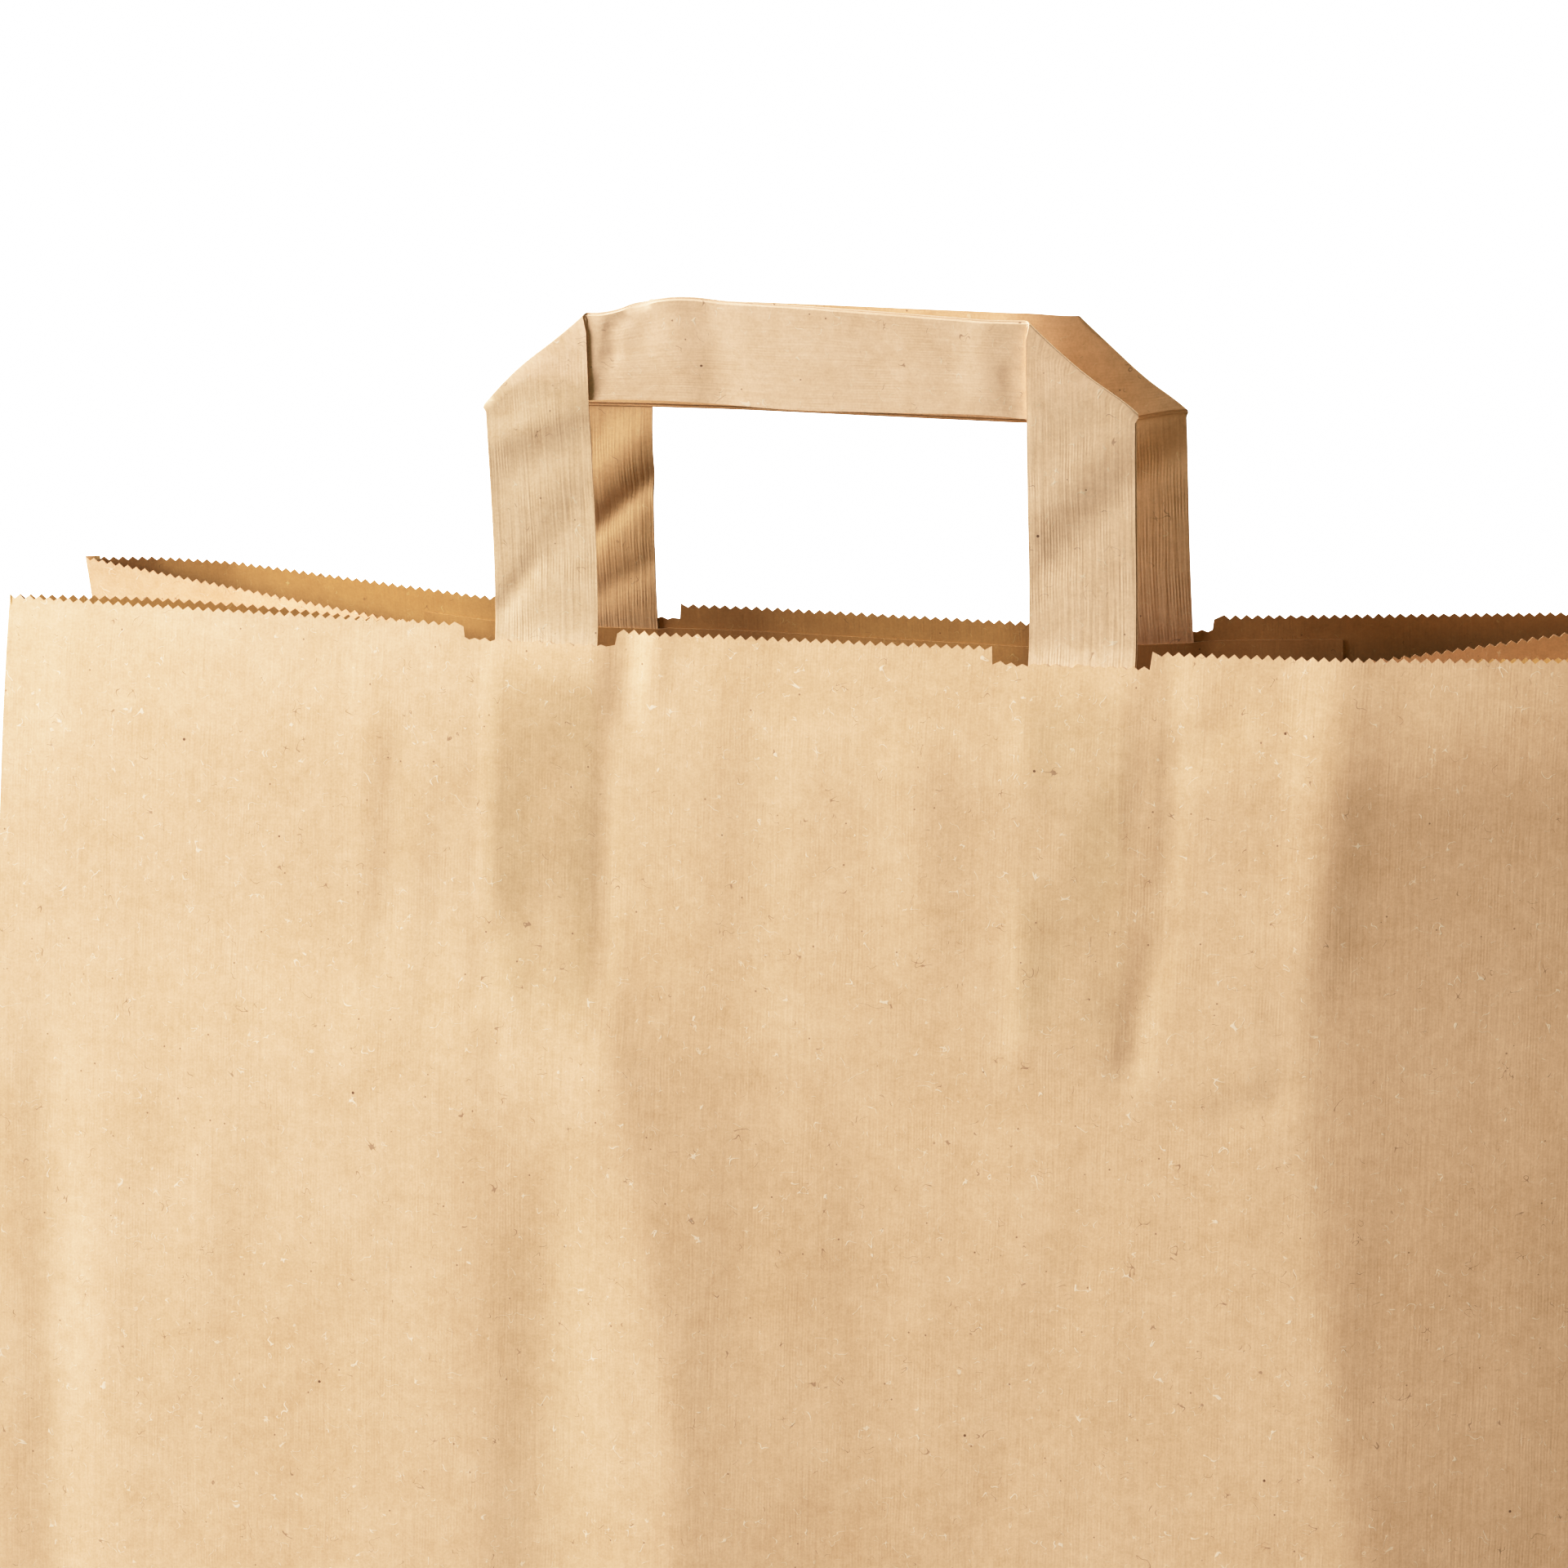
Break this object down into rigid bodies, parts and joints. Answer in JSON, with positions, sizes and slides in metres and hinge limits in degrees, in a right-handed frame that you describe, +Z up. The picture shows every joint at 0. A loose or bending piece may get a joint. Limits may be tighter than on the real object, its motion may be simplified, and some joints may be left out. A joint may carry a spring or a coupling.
{
  "type": "paper carrier bag",
  "caption": "Open-topped brown paper carrier bag with folded-in gussets, a saw-cut notched rim, a block bottom and flat folded paper handles glued inside under patches.",
  "frame": {"origin": "middle of the bag's bottom, on the surface that it stands on", "axes": "+X along the bag's width, to the right as seen from the front; +Y from the front panel to the rear panel; +Z up"},
  "size_m": [0.32, 0.17, 0.498],
  "materials": {
    "kraft_sheet": "matt brown kraft paper with faint ribs, dark specks and pale fibres",
    "handle_strip": "matt brown kraft paper folded in layers, finely ribbed along the strip",
    "patch_sheet": "matt brown kraft paper"
  },
  "bodies": {
    "root": {"bag_body": "kraft_sheet", "front_handle": "handle_strip", "rear_handle": "handle_strip", "front_handle_patch": "patch_sheet", "rear_handle_patch": "patch_sheet"}
  },
  "joints": []
}
